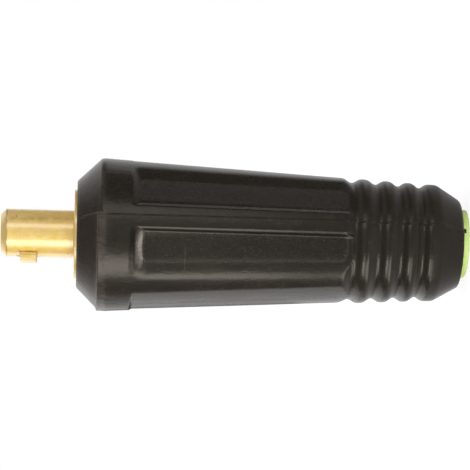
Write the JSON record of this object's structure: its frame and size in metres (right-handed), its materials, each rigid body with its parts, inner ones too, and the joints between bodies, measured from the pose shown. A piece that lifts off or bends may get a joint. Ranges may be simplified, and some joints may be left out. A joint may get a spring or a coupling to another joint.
{
  "type": "male cable connector",
  "caption": "Male bayonet welding-cable plug: brass pin with one lug and a flange, in a black rubber sleeve with flat grip panels, a ribbed bend relief and a green liner at the cable entry.",
  "frame": {"origin": "on the plug's axis at the rear face of the cable liner, on which the plug stands", "axes": "+Z along the plug's axis from the cable end to the pin tip; -Y through one parting band of the sleeve; -X through the bayonet lug; +X through the clamp screws"},
  "size_m": [0.042, 0.042, 0.1287],
  "materials": {
    "contact_brass": "bright turned brass with faint lathe marks",
    "screw_steel": "dark zinc-plated steel",
    "ferrule_copper": "soft rolled copper sheet, matt",
    "sleeve_rubber": "moulded black rubber, fine grain on the panels, soft sheen",
    "liner_plastic": "soft lime-green plastic, matt"
  },
  "bodies": {
    "plug": {"contact_body": "contact_brass", "rubber_sleeve": "sleeve_rubber", "cable_liner": "liner_plastic", "strand_ferrule": "ferrule_copper"},
    "front_screw": {"clamp_screw_front": "screw_steel"},
    "rear_screw": {"clamp_screw_rear": "screw_steel"}
  },
  "joints": [
    {"name": "front_screw_travel", "type": "slide", "parent": "plug", "child": "front_screw", "axis": [1, 0, 0], "range_m": [0, 0.0026]},
    {"name": "rear_screw_travel", "type": "slide", "parent": "plug", "child": "rear_screw", "axis": [1, 0, 0], "range_m": [0, 0.0026]}
  ]
}
